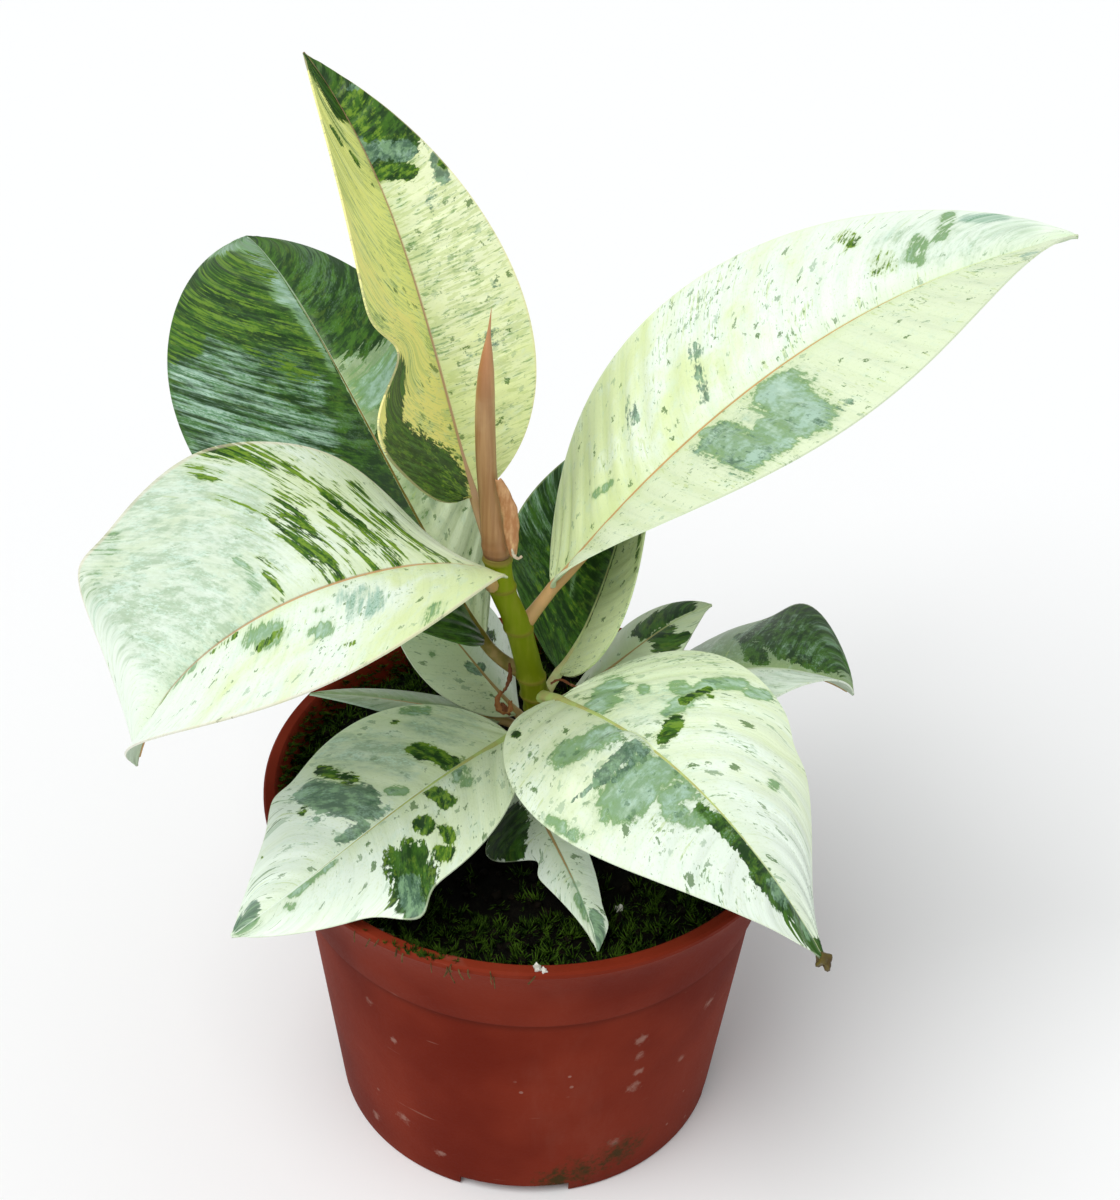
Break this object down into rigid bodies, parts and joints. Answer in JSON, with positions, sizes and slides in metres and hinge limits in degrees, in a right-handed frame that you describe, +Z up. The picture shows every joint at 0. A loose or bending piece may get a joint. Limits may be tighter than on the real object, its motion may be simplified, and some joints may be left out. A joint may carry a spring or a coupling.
{
  "type": "potted shivereana rubber plant",
  "caption": "Young variegated rubber plant: cream leaves marbled with green round a leaning stem with a pointed bud, rooted in soil in a round brick-red nursery pot with a flared collar.",
  "frame": {"origin": "on the surface the pot stands on, under the middle of the pot", "axes": "+Z up, +X to the right and +Y away from the viewer when the plant is seen from its front, with the largest leaf reaching to +X"},
  "size_m": [0.2048, 0.1516, 0.239],
  "materials": {
    "pot_plastic": "satin brick red moulded plastic with scuffs and dust",
    "soil": "matte moist peat and bark mix with moss",
    "stem_bark": "satin olive green young stem",
    "bud_sheath": "gloss reddish brown sheath",
    "dry_sheath": "matte dried papery brown",
    "leaf_pale": "satin cream leathery leaf marbled with green",
    "leaf_dark": "satin dark green leathery leaf with pale streaks",
    "leaf_young": "satin yellow young leaf flecked with green"
  },
  "bodies": {
    "root": {"pot": "pot_plastic", "soil": "soil", "stem": "stem_bark", "terminal_bud": "bud_sheath", "dried_stipule": "dry_sheath", "leaf_1": "leaf_young", "leaf_2": "leaf_dark", "leaf_3": "leaf_pale", "leaf_4": "leaf_pale", "leaf_5": "leaf_dark", "leaf_6": "leaf_pale", "leaf_7": "leaf_pale", "leaf_8": "leaf_pale", "leaf_9": "leaf_pale", "leaf_10": "leaf_pale", "leaf_11": "leaf_dark", "leaf_12": "leaf_pale"}
  },
  "joints": []
}
